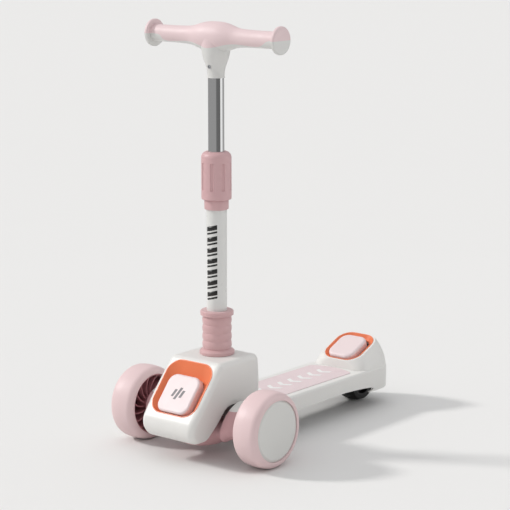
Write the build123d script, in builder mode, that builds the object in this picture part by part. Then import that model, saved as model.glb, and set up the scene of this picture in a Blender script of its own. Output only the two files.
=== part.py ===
from build123d import *
import os
from math import cos, radians, sin, sqrt, tan

# A child's three-wheeled kick scooter: a low deck on one small rear wheel, a moulded front body
# that carries a height-adjustable T-bar, and a lean-to-steer truck with two big front wheels.
# Origin: on the ground, in the middle of the footprint. +Z is up, the nose points along -Y, and
# the rider's left is +X.

os.makedirs("parts", exist_ok=True)

# Overall sizes
wheelbase = 400
nose_reach = 89
tail_reach = 40
wheel_track = 252
handlebar_height = 649
handlebar_width = 258
deck_width = 114
deck_height = 67

# Named clearances
body_gap = 0.3
running_gap = 0.05
seat_gap = 0.2

# Front wheels
wheel_radius = 60
wheel_width = 46
tyre_bore = 48
tyre_shoulder = 9.5
tyre_face_radius = 51
rim_band = 2.6
hub_radius = 13.5
blade_count = 15
blade_thickness = 2.2
cap_thickness = 2.4
bearing_radius = 11
bearing_width = 7
axle_radius = 4

# Rear wheel
rear_radius = 34
rear_width = 36
rear_tyre_bore = 24

# Steering post
post_setback = 33
tube_radius = 16
tube_wall = 2
tube_top = 392
inner_radius = 12.5
inner_wall = 1.5
inner_foot = 250

# Height clamp
ring_low = 383
collar_low = 398.5
collar_high = 473
collar_wall = 7.4
collar_ring_wall = 2.9
groove_count = 8

# Front body
body_half_width = 55
body_widest = 100
body_top_half = 52
body_foot_half = 49
body_top = 153
body_corner = 10
body_edge = 10
body_rear = 75
body_low = 35
body_wall = 3
panel_tilt = 50
nose_radius = 24

# Front dish and its push pad
dish_width = 92
dish_height = 94
dish_middle = 113.5
dish_corner = 24
dish_depth = 10
pad_width = 63
pad_height = 65
pad_corner = 15
pad_drop = 11
pad_proud = 3
pad_travel = 4

# Lean-to-steer truck
hinge_tilt = 38
hinge_ahead = 4
hinge_height = 66
barrel_radius = 13
barrel_length = 34
lug_thickness = 8
bolt_radius = 5
bush_radius = 7.5
spring_spread = 28
spring_low = 64

# Deck
deck_front = 48
deck_wall = 3.5
deck_corner = 40
deck_low = 42
skirt_low = 29
mat_width = 86
mat_front = 86
mat_end = 342
mat_thickness = 2
mat_proud = 0.8

# Rear dish and brake
rear_dish_width = 74
rear_dish_length = 76
rear_dish_corner = 24
rear_dish_depth = 6
rear_dish_tilt = 23.5
rear_dish_ahead = 17.3
rear_dish_height = 97.4
rear_dish_border = 3
brake_pad_width = 53
brake_pad_length = 60
brake_pad_corner = 16
brake_pad_proud = 6
brake_travel = 5
shoe_gap = 4

# Places that follow from the sizes above
front_axle_y = -(wheelbase + tail_reach + nose_reach) / 2 + nose_reach
rear_axle_y = front_axle_y + wheelbase
tail_y = rear_axle_y + tail_reach
post_y = front_axle_y + post_setback
wheel_x = wheel_track / 2
collar_radius = tube_radius + collar_wall
collar_ring_radius = tube_radius + collar_ring_wall
neck_low = handlebar_height - 62.5
inner_head = handlebar_height - 17
left_and_right = {"left": 1, "right": -1}


def save(piece, name):
    piece.part.label = name
    export_step(piece.part, f"parts/{name}.step")


def tube(plane, radius, bore, length):
    """A straight tube, washer or rod that starts on a plane."""
    with BuildPart() as made:
        with BuildSketch(plane):
            Circle(radius)
            if bore > 0:
                Circle(bore, mode=Mode.SUBTRACT)
        extrude(amount=length)
    return made


def turned(plane, points, axis_direction):
    """A closed outline turned about the plane's origin."""
    with BuildPart() as made:
        with BuildSketch(plane):
            with BuildLine():
                Polyline(*points, close=True)
            make_face()
        revolve(axis=Axis(plane.origin, axis_direction))
    return made


def across(side, offset=0, height=wheel_radius, y=front_axle_y, mid=wheel_x):
    """A plane square to a wheel's axle, facing outwards, offset from the wheel's middle."""
    return Plane(origin=(side * (mid + offset), y, height), x_dir=(0, 1, 0), z_dir=(side, 0, 0))


def along(side, y=front_axle_y, height=wheel_radius, mid=wheel_x):
    """A plane through a wheel's axle: x runs outwards and y is the radius."""
    return Plane(origin=(side * mid, y, height), x_dir=(side, 0, 0), z_dir=(0, -side, 0))


# ---------------------------------------------------------------- front wheels

half_tyre = wheel_width / 2
web_outer = 15
web_thickness = 3
inner_bearing = -17
outer_bearing = 3
nut_width = 13
nut_height = 5.5

with BuildSketch() as blade:
    with BuildLine():
        ThreePointArc((hub_radius - 1, 0), (29, 6.5), (0.84 * tyre_bore, 0.48 * tyre_bore))
    trace(line_width=blade_thickness)

for name, side in left_and_right.items():
    wheel_plane = along(side)

    # Soft tyre with a round tread and a flat outer face
    shoulder_x = half_tyre - tyre_shoulder
    with BuildPart() as tyre:
        with BuildSketch(wheel_plane):
            with BuildLine():
                Polyline((half_tyre, tyre_face_radius), (half_tyre, tyre_bore), (-half_tyre, tyre_bore),
                         (-half_tyre, tyre_face_radius - 1))
                crown = ThreePointArc((-shoulder_x, wheel_radius - 1), (0, wheel_radius),
                                      (shoulder_x, wheel_radius - 1))
                TangentArc(crown @ 1, (half_tyre, tyre_face_radius), tangent=crown % 1)
                TangentArc(crown @ 0, (-half_tyre, tyre_face_radius - 1), tangent=-(crown % 0))
            make_face()
        revolve(axis=Axis(wheel_plane.origin, (1, 0, 0)))
    save(tyre, f"tyre_{name}")

    # Moulded rim: band, fan of curved blades, web and bearing hub
    with BuildPart() as rim:
        with BuildSketch(across(side, -half_tyre + 2)):
            Circle(tyre_bore)
            Circle(tyre_bore - rim_band, mode=Mode.SUBTRACT)
        extrude(amount=web_outer + half_tyre - 2)
        with BuildSketch(across(side, web_outer - web_thickness)):
            Circle(tyre_bore)
        extrude(amount=web_thickness)
        with BuildSketch(across(side, inner_bearing)):
            Circle(hub_radius)
        extrude(amount=web_outer - inner_bearing)
        with BuildSketch(across(side, inner_bearing + 3)):
            with PolarLocations(0, blade_count):
                add(blade.sketch)
        extrude(amount=web_outer - inner_bearing - 4)
        for start in (inner_bearing, outer_bearing):
            with BuildSketch(across(side, start)):
                Circle(bearing_radius)
            extrude(amount=bearing_width, mode=Mode.SUBTRACT)
        with BuildSketch(across(side, inner_bearing)):
            Circle(bearing_radius - 2)
        extrude(amount=web_outer - inner_bearing, mode=Mode.SUBTRACT)
        with BuildSketch(across(side, outer_bearing + bearing_width)):
            Circle(nut_width * 0.75)
        extrude(amount=web_outer, mode=Mode.SUBTRACT)
    save(rim, f"rim_{name}")

    # Dished hub cap with a bevelled edge
    cap_face = half_tyre - 0.4
    cap = turned(wheel_plane, [
        (cap_face, 0), (cap_face, 44), (cap_face - 2, tyre_bore - seat_gap), (web_outer, tyre_bore - seat_gap),
        (web_outer, 45), (cap_face - cap_thickness - 1, 43), (cap_face - cap_thickness, 41),
        (cap_face - cap_thickness, 0)], (1, 0, 0))
    save(cap, f"hub_cap_{name}")

    # A pair of sealed ball bearings pressed into the hub
    with BuildPart() as bearings:
        for start in (inner_bearing, outer_bearing):
            with BuildSketch(across(side, start)):
                Circle(bearing_radius)
                Circle(axle_radius + running_gap, mode=Mode.SUBTRACT)
            extrude(amount=bearing_width)
            for face in (start, start + bearing_width - 0.4):
                with BuildSketch(across(side, face)):
                    Circle(bearing_radius - 1.6)
                    Circle(axle_radius + 1.8, mode=Mode.SUBTRACT)
                extrude(amount=0.4, mode=Mode.SUBTRACT)
    save(bearings, f"bearings_{name}")

    # Spacer between the inner races
    spacer_low = inner_bearing + bearing_width + body_gap
    spacer = tube(across(side, spacer_low), axle_radius + 2, axle_radius, outer_bearing - body_gap - spacer_low)
    save(spacer, f"wheel_spacer_{name}")

    # Axle bolt with its head inside the truck arm
    arm_end = inner_bearing - body_gap - 0.1
    head_start = 49 - wheel_x
    axle_end = outer_bearing + bearing_width + 8.5
    with BuildPart() as axle:
        with BuildSketch(across(side, head_start)):
            RegularPolygon(nut_width / 2, 6, major_radius=False)
        extrude(amount=nut_height)
        with BuildSketch(across(side, head_start)):
            Circle(axle_radius)
        extrude(amount=axle_end - head_start)
    save(axle, f"axle_bolt_{name}")

    # Washer and lock nut behind the cap
    nut_start = outer_bearing + bearing_width + body_gap
    with BuildPart() as nut:
        with BuildSketch(across(side, nut_start)):
            Circle(axle_radius + 3.5)
            Circle(axle_radius, mode=Mode.SUBTRACT)
        extrude(amount=1)
        with BuildSketch(across(side, nut_start + 1)):
            RegularPolygon(nut_width / 2, 6, major_radius=False)
            Circle(axle_radius, mode=Mode.SUBTRACT)
        extrude(amount=nut_height)
    save(nut, f"axle_nut_{name}")

# ---------------------------------------------------------------- rear wheel

rear_hub = 12
rear_bearing_radius = 9
rear_bearing_width = 6
rear_plane = along(1, rear_axle_y, rear_radius, 0)


def rear(offset):
    return across(1, offset, rear_radius, rear_axle_y, 0)


half_rear = rear_width / 2
with BuildPart() as rear_tyre:
    with BuildSketch(rear_plane):
        with BuildLine():
            Polyline((half_rear, rear_radius - 4), (half_rear, rear_tyre_bore), (-half_rear, rear_tyre_bore),
                     (-half_rear, rear_radius - 4))
            ThreePointArc((-half_rear, rear_radius - 4), (0, rear_radius), (half_rear, rear_radius - 4))
        make_face()
    revolve(axis=Axis(rear_plane.origin, (1, 0, 0)))
save(rear_tyre, "rear_tyre")

with BuildPart() as rear_rim:
    with BuildSketch(rear(-half_rear)):
        Circle(rear_tyre_bore)
    extrude(amount=rear_width)
    for start in (-half_rear, half_rear - 10):
        with BuildSketch(rear(start)):
            Circle(rear_tyre_bore - 3)
            Circle(rear_hub, mode=Mode.SUBTRACT)
        extrude(amount=10, mode=Mode.SUBTRACT)
    for start in (-half_rear, half_rear - rear_bearing_width):
        with BuildSketch(rear(start)):
            Circle(rear_bearing_radius)
        extrude(amount=rear_bearing_width, mode=Mode.SUBTRACT)
    with BuildSketch(rear(-half_rear)):
        Circle(rear_bearing_radius - 2)
    extrude(amount=rear_width, mode=Mode.SUBTRACT)
save(rear_rim, "rear_rim")

with BuildPart() as rear_bearings:
    for start in (-half_rear, half_rear - rear_bearing_width):
        with BuildSketch(rear(start)):
            Circle(rear_bearing_radius)
            Circle(axle_radius + running_gap, mode=Mode.SUBTRACT)
        extrude(amount=rear_bearing_width)
save(rear_bearings, "rear_bearings")

fork_gap = half_rear + 2.5
fork_wall = 4
with BuildPart() as rear_spacers:
    for start, length in ((-fork_gap, fork_gap - half_rear - body_gap),
                          (-half_rear + rear_bearing_width + body_gap, rear_width - 2 * (rear_bearing_width + body_gap)),
                          (half_rear + body_gap, fork_gap - half_rear - body_gap)):
        with BuildSketch(rear(start)):
            Circle(axle_radius + 2)
            Circle(axle_radius, mode=Mode.SUBTRACT)
        extrude(amount=length)
save(rear_spacers, "rear_spacers")

rear_axle_end = fork_gap + fork_wall
with BuildPart() as rear_axle:
    with BuildSketch(rear(-rear_axle_end - nut_height)):
        RegularPolygon(nut_width / 2, 6, major_radius=False)
    extrude(amount=nut_height)
    with BuildSketch(rear(-rear_axle_end)):
        Circle(axle_radius)
    extrude(amount=2 * rear_axle_end + nut_height + 2)
save(rear_axle, "rear_axle_bolt")

with BuildPart() as rear_nut:
    with BuildSketch(rear(rear_axle_end)):
        RegularPolygon(nut_width / 2, 6, major_radius=False)
        Circle(axle_radius, mode=Mode.SUBTRACT)
    extrude(amount=nut_height)
save(rear_nut, "rear_axle_nut")

# ---------------------------------------------------------------- truck

hinge_y = front_axle_y + hinge_ahead
lean = radians(hinge_tilt)
# Square to the steering hinge: z runs up and forward along it, x to the rider's left, y up and back
hinge_plane = Plane(origin=(0, hinge_y, hinge_height), x_dir=(1, 0, 0), z_dir=(0, -cos(lean), sin(lean)))


def on_hinge(offset):
    return hinge_plane.offset(offset)


def section(x, ahead, height, half_length, half_height, turn):
    """An oval section of the truck, square to X."""
    plane = Plane(origin=(x, front_axle_y + ahead, height), x_dir=(0, 1, 0), z_dir=(1, 0, 0))
    with BuildSketch(plane) as oval:
        Ellipse(half_length, half_height, rotation=turn)
    return oval.sketch


# x, ahead of the axle line, height, half length, half height, turn in degrees
neck_section = (46, 4, 44.5, 27, 16, 4)
fender_root = (61, 0, 60, 38, 22, 38)
belly_sections = [(0, -2, 34, 46, 20, 0), (24, 0, 36.5, 43, 19.5, 0), neck_section]
arm_sections = [neck_section, (53, 3, 47, 24, 16.5, 10), fender_root]
fender_sections = [fender_root, (77, 0, 64, 34, 24, 30), (97, 0, 62, 28, 26, 20)]
arm_tip = wheel_x + arm_end
cover_seam = 79
arm_start = arm_sections[-1][0]
with BuildPart(mode=Mode.PRIVATE) as half_belly:
    for sections in (belly_sections, arm_sections, fender_sections):
        loft([section(*values) for values in sections])

cover_cut = Plane(origin=(arm_start, front_axle_y, cover_seam), x_dir=(cos(radians(9)), 0, sin(radians(9))),
                  z_dir=(-sin(radians(9)), 0, cos(radians(9))))
with BuildPart() as housing:
    add(half_belly.part)
    with BuildSketch(cover_cut):
        with Locations((30, 0)):
            Rectangle(60, 120)
    extrude(amount=40, mode=Mode.SUBTRACT)
    with BuildSketch(across(1, 90 - wheel_x)):
        Circle(20)
    extrude(amount=arm_tip - 90, taper=24)
    mirror(about=Plane.YZ)
    # hollow boat under the front body, open at the back for the hinge bolt's head
    for width, length, floor, ahead in ((40, 60, 19, -1), (74, 56, 30, 1), (30, 60, 33, 24)):
        with BuildSketch(Plane(origin=(0, front_axle_y + ahead, floor))):
            RectangleRounded(width, length, 10)
        extrude(amount=60, mode=Mode.SUBTRACT)
    # hinge barrel on its web
    with BuildSketch(on_hinge(-barrel_length / 2 + 0.5)):
        with Locations((0, -24)):
            Rectangle(10, 48)
    extrude(amount=barrel_length - 1)
    with BuildSketch(on_hinge(-barrel_length / 2)):
        Circle(barrel_radius)
    extrude(amount=barrel_length)
    # spring posts
    with BuildSketch(Plane(origin=(0, hinge_y, 28))):
        with Locations((spring_spread, 0), (-spring_spread, 0)):
            Circle(8)
    extrude(amount=spring_low - 28)
    with BuildSketch(on_hinge(-barrel_length / 2)):
        Circle(bush_radius)
    extrude(amount=barrel_length, mode=Mode.SUBTRACT)
    # bolt holes through both arms, opened out inside for the bolt heads
    for side in (1, -1):
        with BuildSketch(across(side, 40 - wheel_x)):
            Circle(axle_radius)
        extrude(amount=arm_tip - 40, mode=Mode.SUBTRACT)
        with BuildSketch(across(side, 30 - wheel_x)):
            RegularPolygon(nut_width / 2, 6, major_radius=False)
        extrude(amount=49 + nut_height - 30, mode=Mode.SUBTRACT)
save(housing, "truck_housing")

with BuildPart() as covers:
    add(half_belly.part)
    with BuildSketch(cover_cut):
        with Locations((30, 0)):
            Rectangle(60, 120)
    extrude(amount=40, mode=Mode.INTERSECT)
    mirror(about=Plane.YZ)
save(covers, "arm_covers")

# Flanged bushes that carry the truck on the hinge bolt
with BuildPart() as hinge_bushes:
    for start in (-barrel_length / 2, 0.5):
        with BuildSketch(on_hinge(start)):
            Circle(bush_radius)
            Circle(bolt_radius + running_gap, mode=Mode.SUBTRACT)
        extrude(amount=barrel_length / 2 - 0.5)
save(hinge_bushes, "hinge_bushes")

# ---------------------------------------------------------------- steering head

lug_start = barrel_length / 2 + 0.5
lug_end = lug_start + lug_thickness
head_low = 90
saddle_height = 8
saddle_y = front_axle_y + 61
saddle_bolt_x = 28
saddle_bolt_radius = 3
saddle_spots = [(side * saddle_bolt_x, saddle_y) for side in (1, -1)]
with BuildPart() as head_block:
    with BuildSketch(Plane(origin=(0, front_axle_y, head_low))):
        with Locations((0, 24)):
            Rectangle(42, 60)
        with Locations((0, 5)):
            RectangleRounded(74, 30, 6)
    extrude(amount=12)
    with BuildSketch(Plane(origin=(0, front_axle_y, head_low))):
        with Locations((0, 24)):
            RectangleRounded(42, 60, 6)
    extrude(amount=45)
    with BuildSketch(Plane(origin=(0, post_y, 80))):
        Circle(tube_radius + 6)
    extrude(amount=68)
    # saddle that bolts down on the deck
    with BuildSketch(Plane(origin=(0, saddle_y, deck_height))):
        RectangleRounded(72, 22, 5)
    extrude(amount=saddle_height)
    with BuildSketch(Plane(origin=(0, front_axle_y + 58, deck_height))):
        Rectangle(42, 16)
    extrude(amount=head_low + 8 - deck_height)
    # lugs each side of the hinge barrel
    for start in (-lug_end, lug_start):
        with BuildSketch(on_hinge(start)):
            Circle(barrel_radius)
            with Locations((0, 19)):
                Rectangle(2 * barrel_radius, 38)
        extrude(amount=lug_thickness)
    with BuildSketch(on_hinge(-lug_end)):
        Circle(bolt_radius)
    extrude(amount=2 * lug_end, mode=Mode.SUBTRACT)
    with BuildSketch(Plane(origin=(0, post_y, 84))):
        Circle(tube_radius)
    extrude(amount=80, mode=Mode.SUBTRACT)
    # saddle and cross bolt holes
    with BuildSketch(Plane.XY.offset(deck_height)):
        with Locations(*saddle_spots):
            Circle(saddle_bolt_radius)
    extrude(amount=saddle_height, mode=Mode.SUBTRACT)
    with BuildSketch(Plane(origin=(-40, post_y, 122), x_dir=(0, 1, 0), z_dir=(1, 0, 0))):
        Circle(3)
    extrude(amount=80, mode=Mode.SUBTRACT)
save(head_block, "head_block")

# Hinge bolt with its lock nut
hinge_nut_height = 7
with BuildPart() as hinge_bolt:
    with BuildSketch(on_hinge(-lug_end - 5)):
        RegularPolygon(8, 6, major_radius=False)
    extrude(amount=5)
    with BuildSketch(on_hinge(-lug_end)):
        Circle(bolt_radius)
    extrude(amount=2 * lug_end + hinge_nut_height + 1.5)
save(hinge_bolt, "hinge_bolt")
with BuildPart() as hinge_nut:
    with BuildSketch(on_hinge(lug_end)):
        RegularPolygon(8, 6, major_radius=False)
        Circle(bolt_radius, mode=Mode.SUBTRACT)
    extrude(amount=hinge_nut_height)
save(hinge_nut, "hinge_nut")

# Two rubber springs that centre the truck
for name, side in left_and_right.items():
    with BuildPart() as spring:
        with BuildSketch(Plane(origin=(side * spring_spread, hinge_y, spring_low))):
            Circle(7)
            Circle(3, mode=Mode.SUBTRACT)
        extrude(amount=head_low - spring_low)
        for level in (5, 11, 17):
            with BuildSketch(Plane(origin=(side * spring_spread, hinge_y, spring_low + level))):
                Circle(8)
                Circle(3, mode=Mode.SUBTRACT)
            extrude(amount=4)
    save(spring, f"centring_spring_{name}")

# ---------------------------------------------------------------- front body

tilt = radians(panel_tilt)
nose_y = front_axle_y - nose_reach + nose_radius
nose_height = body_low + nose_radius


def front_form(inset):
    """The body's outer form, or its hollow when it is drawn in by the wall."""
    nose = nose_radius - inset
    panel_y, panel_z = nose_y - nose * sin(tilt), nose_height + nose * cos(tilt)
    top, low = body_top - inset, body_low + inset
    corner_y = panel_y + (top - panel_z) / tan(tilt)
    rear_y = front_axle_y + body_rear - inset
    waist, top_half, foot_half = (half - inset for half in (body_half_width, body_top_half, body_foot_half))
    with BuildPart() as form:
        with BuildSketch(Plane.YZ.offset(-waist)) as side_view:
            with BuildLine():
                nose_side = (nose_y - nose * cos(radians(20)), nose_height - nose * sin(radians(20)))
                ThreePointArc((nose_y, low), nose_side, (panel_y, panel_z))
                Polyline((panel_y, panel_z), (corner_y, top), (rear_y, top), (rear_y, low), (nose_y, low))
            make_face()
            fillet(side_view.vertices().filter_by_position(Axis.Y, top - 0.1, top + 0.1), body_corner - inset)
        extrude(amount=2 * waist)
        with BuildSketch(Plane.XZ.offset(-rear_y - 1)):
            with BuildLine():
                ThreePointArc((-foot_half, low - 1), (-waist, body_widest), (-top_half, top + 1))
                Line((-top_half, top + 1), (top_half, top + 1))
                ThreePointArc((top_half, top + 1), (waist, body_widest), (foot_half, low - 1))
                Line((foot_half, low - 1), (-foot_half, low - 1))
            make_face()
        extrude(amount=2 * wheelbase, mode=Mode.INTERSECT)
        sides = form.edges().filter_by(lambda edge: abs(edge.center().X) > foot_half - 1)
        fillet(sides, body_edge - inset)
    return form


def dish_plane(y, height, turn):
    """The face of a dish: x to the rider's left, y up the slope, z outwards."""
    return Plane(origin=(0, y, height), x_dir=(1, 0, 0), z_dir=(0, -sin(turn), cos(turn)))


panel_start_y = nose_y - nose_radius * sin(tilt)
panel_start_z = nose_height + nose_radius * cos(tilt)
front_dish = dish_plane(panel_start_y + (dish_middle - panel_start_z) / tan(tilt), dish_middle, tilt)
front_pad_y = -pad_drop

with BuildPart() as front_shell:
    add(front_form(0).part)
    add(front_form(body_wall).part, mode=Mode.SUBTRACT)
    # pocket for the dish
    with BuildSketch(front_dish.offset(-dish_depth)):
        RectangleRounded(dish_width, dish_height, dish_corner)
    extrude(amount=2 * dish_depth, mode=Mode.SUBTRACT)
    # hole for the post
    with BuildSketch(Plane(origin=(0, post_y, body_top - 2 * body_wall))):
        Circle(tube_radius + seat_gap)
    extrude(amount=3 * body_wall, mode=Mode.SUBTRACT)
    # arches over the truck arms, and the seat on the deck
    with BuildSketch(Plane(origin=(-80, front_axle_y, 0), x_dir=(0, 1, 0), z_dir=(1, 0, 0))):
        with BuildLine():
            Spline((-62, 30), (-46, 43), (-30, 59), (-15, 77), (4, 85), tangents=((1, 0.3), (1, 0)))
            Polyline((4, 85), (40, 85), (deck_front + 4, deck_height), (body_rear + 9, deck_height),
                     (body_rear + 9, 20), (-62, 20), (-62, 30))
        make_face()
    extrude(amount=160, mode=Mode.SUBTRACT)
save(front_shell, "front_shell")


def dish_ring(plane, size, corner, depth, pad_size, pad_corner, shift, room):
    """A bright moulded dish: a bowl that slopes from its rim down to the opening for the pad."""
    floor, rim, slack = 2, 1.5, 1.2
    width, length = size
    with BuildPart() as ring:
        with BuildSketch(plane.offset(-depth - floor)):
            RectangleRounded(width - 2 * seat_gap, length - 2 * seat_gap, corner)
        extrude(amount=depth + floor + 0.5)
        with BuildSketch(plane.offset(0.5)):
            RectangleRounded(width - 2 * rim, length - 2 * rim, corner - rim)
        with BuildSketch(plane.offset(-depth)):
            with Locations((0, shift + room / 2)):
                RectangleRounded(pad_size[0] + slack, pad_size[1] + slack + room, pad_corner + slack / 2)
        loft(mode=Mode.SUBTRACT)
        with BuildSketch(plane.offset(-depth - floor)):
            with Locations((0, shift + room / 2)):
                RectangleRounded(pad_size[0] + slack, pad_size[1] + slack + room, pad_corner + slack / 2)
        extrude(amount=floor, mode=Mode.SUBTRACT)
    return ring


front_ring = dish_ring(front_dish, (dish_width, dish_height), dish_corner, dish_depth,
                       (pad_width, pad_height), pad_corner, front_pad_y, 0)
save(front_ring, "front_ring")

# Push pad, kept in by a flange behind the dish
dish_back = dish_depth + 2
flange_top = -dish_back - body_gap
with BuildPart() as push_pad:
    with BuildSketch(front_dish.offset(flange_top)):
        with Locations((0, front_pad_y)):
            RectangleRounded(pad_width, pad_height, pad_corner)
    extrude(amount=pad_proud - flange_top)
    fillet(push_pad.faces().sort_by(Axis(front_dish.origin, front_dish.z_dir))[-1].edges(), 3.5)
    with BuildSketch(front_dish.offset(flange_top - 2)):
        with Locations((0, front_pad_y)):
            RectangleRounded(pad_width + 5, pad_height + 5, pad_corner + 2)
    extrude(amount=2)
save(push_pad, "push_pad")

# Tray that closes the dish from behind and carries the return spring
tray_depth = 10
with BuildPart() as tray:
    with BuildSketch(front_dish.offset(-dish_back - tray_depth - 2)):
        with Locations((0, front_pad_y)):
            RectangleRounded(pad_width + 12, pad_height + 12, pad_corner + 5)
    extrude(amount=tray_depth + 2)
    with BuildSketch(front_dish.offset(-dish_back - tray_depth)):
        with Locations((0, front_pad_y)):
            RectangleRounded(pad_width + 8, pad_height + 8, pad_corner + 3)
    extrude(amount=tray_depth, mode=Mode.SUBTRACT)
save(tray, "push_pad_tray")

with BuildPart() as pad_spring:
    with BuildSketch(front_dish.offset(-dish_back - tray_depth)):
        with Locations((0, front_pad_y)):
            Circle(9)
            Circle(7.6, mode=Mode.SUBTRACT)
    extrude(amount=tray_depth - body_gap - 2)
save(pad_spring, "push_pad_spring")

# ---------------------------------------------------------------- deck

deck_half = deck_width / 2


def rear_y(ahead):
    return rear_axle_y - ahead


def deck_outline(inset, front):
    """Plan of the deck: straight sides and a round tail."""
    half, tail = deck_half - inset, tail_y - inset
    corner = deck_corner - inset
    with BuildSketch() as plan:
        with BuildLine():
            Polyline((-half, tail - corner), (-half, front), (half, front), (half, tail - corner))
            RadiusArc((half, tail - corner), (half - corner, tail), -corner)
            Line((half - corner, tail), (corner - half, tail))
            RadiusArc((corner - half, tail), (-half, tail - corner), -corner)
        make_face()
    return plan.sketch


rear_dish = dish_plane(rear_y(rear_dish_ahead), rear_dish_height, radians(rear_dish_tilt))
hump_front = rear_y(55)
hump_foot = deck_height - 8
hump_bulge = 4


def hump_form(inset):
    """The tail hump that swells from the deck's sides up to the rear dish."""
    half, tail, front = deck_half - 0.6 - inset, tail_y - 0.6 - inset, hump_front + inset
    top_half = rear_dish_width / 2 + rear_dish_border - inset / 2
    top_length = rear_dish_length + 2 * rear_dish_border - inset
    top_corner = rear_dish_corner + rear_dish_border - inset / 2
    half_turn = radians(rear_dish_tilt / 2)
    # halfway up, the sides stand out from the straight line by the bulge
    belt_half = (half + top_half) / 2 + hump_bulge
    belt_rear = (tail + rear_dish.origin.Y + top_length / 2 * cos(2 * half_turn)) / 2 + hump_bulge
    belt_front = (front + rear_dish.origin.Y - top_length / 2 * cos(2 * half_turn)) / 2
    belt_length = (belt_rear - belt_front) / cos(half_turn)
    belt_height = (hump_foot - inset + rear_dish.origin.Z) / 2
    with BuildPart() as form:
        with BuildSketch(Plane.XY.offset(hump_foot - inset)) as foot:
            with Locations((0, (front + tail) / 2)):
                Rectangle(2 * half, tail - front)
            fillet(foot.vertices().group_by(Axis.Y)[-1], deck_corner - 0.6 - inset)
            fillet(foot.vertices().group_by(Axis.Y)[0], 20)
        with BuildSketch(dish_plane((belt_front + belt_rear) / 2, belt_height, half_turn)) as belt:
            Rectangle(2 * belt_half, belt_length)
            fillet(belt.vertices().group_by(Axis.Y)[-1], deck_corner - 6 - inset)
            fillet(belt.vertices().group_by(Axis.Y)[0], 22)
        with BuildSketch(rear_dish.offset(-inset)) as top:
            RectangleRounded(2 * top_half, top_length, top_corner)
        loft()
    return form


def deck_form(inset):
    """The deck's outer form, or its hollow when it is drawn in by the wall."""
    with BuildPart() as form:
        with BuildSketch(Plane.XY):
            add(deck_outline(inset, front_axle_y + deck_front + inset))
        extrude(amount=deck_height - inset)
        if inset == 0:
            with BuildSketch(Plane.YZ.offset(-deck_half)):
                with BuildLine():
                    start = front_axle_y + deck_front - 1
                    Polyline((rear_y(105), deck_low), (start, deck_low), (start, -1), (tail_y + 1, -1),
                             (tail_y + 1, deck_low + 4))
                    Spline((tail_y + 1, deck_low + 4), (rear_y(-26), skirt_low + 3), (rear_y(-8), skirt_low),
                           (rear_y(36), skirt_low), (rear_y(105), deck_low),
                           tangents=((-1, -0.9), (-1, 0.05)))
                make_face()
            extrude(amount=deck_width, mode=Mode.SUBTRACT)
            fillet(form.faces().sort_by(Axis.Z)[-1].edges(), 4)
    return form


hinge_pin_radius = 2.5
pin_along, pin_down = -36.5, -15.5
knuckle_radius = 4.5
screw_radius = 2


def mat_outline(grow):
    """The grip mat: square at the front, bowed at the tail end."""
    half = mat_width / 2 + grow
    front, end = front_axle_y + mat_front - grow, front_axle_y + mat_end + grow
    shoulder = end - 12
    with BuildSketch() as plan:
        with BuildLine():
            Polyline((-half, shoulder), (-half, front), (half, front), (half, shoulder))
            ThreePointArc((half, shoulder), (0, end), (-half, shoulder))
        make_face()
        fillet(plan.vertices(), 8 + grow)
    return plan.sketch


row_front, row_back = front_axle_y + 74, rear_y(112)
base_rows = [row_front, (row_front + row_back) / 2, row_back]
base_screw_x = deck_half - 14
base_spots = [(side * base_screw_x, row) for row in base_rows for side in (1, -1)]
base_top = deck_low + 4
tread_under = deck_height - deck_wall
with BuildPart() as deck_shell:
    add(deck_form(0).part)
    add(hump_form(0).part)
    add(deck_form(deck_wall).part, mode=Mode.SUBTRACT)
    add(hump_form(deck_wall).part, mode=Mode.SUBTRACT)
    # recess for the mat, and holes for the saddle bolts
    with BuildSketch(Plane.XY.offset(deck_height + mat_proud - mat_thickness)):
        add(mat_outline(seat_gap))
    extrude(amount=10, mode=Mode.SUBTRACT)
    with BuildSketch(Plane.XY.offset(deck_low)):
        with Locations(*saddle_spots):
            Circle(saddle_bolt_radius)
    extrude(amount=deck_height, mode=Mode.SUBTRACT)
    # pocket for the rear dish
    with BuildSketch(rear_dish.offset(-rear_dish_depth)):
        RectangleRounded(rear_dish_width, rear_dish_length, rear_dish_corner)
    extrude(amount=3 * rear_dish_depth, mode=Mode.SUBTRACT)
save(deck_shell, "deck_shell")

# Frame of ribs and screw bosses, welded in under the tread
rib_thickness, rib_depth = 2.5, 9.5
rib_x = 22
with BuildPart() as deck_frame:
    with BuildSketch(Plane.XY.offset(tread_under - rib_depth)):
        with Locations((rib_x, (row_front + row_back) / 2), (-rib_x, (row_front + row_back) / 2)):
            Rectangle(rib_thickness, row_back - row_front)
        with Locations(*[(0, row_front + (row_back - row_front) * step / 4) for step in range(5)]):
            Rectangle(deck_width - 2 * deck_wall - 2 * seat_gap, rib_thickness)
    extrude(amount=rib_depth)
    with BuildSketch(Plane.XY.offset(base_top)):
        with Locations(*base_spots):
            Circle(screw_radius + 3)
    extrude(amount=tread_under - base_top)
    with BuildSketch(Plane.XY.offset(base_top)):
        with Locations(*base_spots):
            Circle(screw_radius)
    extrude(amount=12, mode=Mode.SUBTRACT)
save(deck_frame, "deck_frame")

# Fork that carries the rear axle and the brake's hinge pin, welded in under the tail
fork_front, fork_back = rear_y(58), rear_y(-14)
cheek_top = tread_under + 11
pin_plane = rear_dish.offset(pin_down)
pin_origin = pin_plane.from_local_coords((0, pin_along, 0))


def across_pin(start):
    """A plane square to the brake's hinge pin, facing the rider's left."""
    return Plane(origin=(start, pin_origin.Y, pin_origin.Z), x_dir=(0, 1, 0), z_dir=(1, 0, 0))


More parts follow.
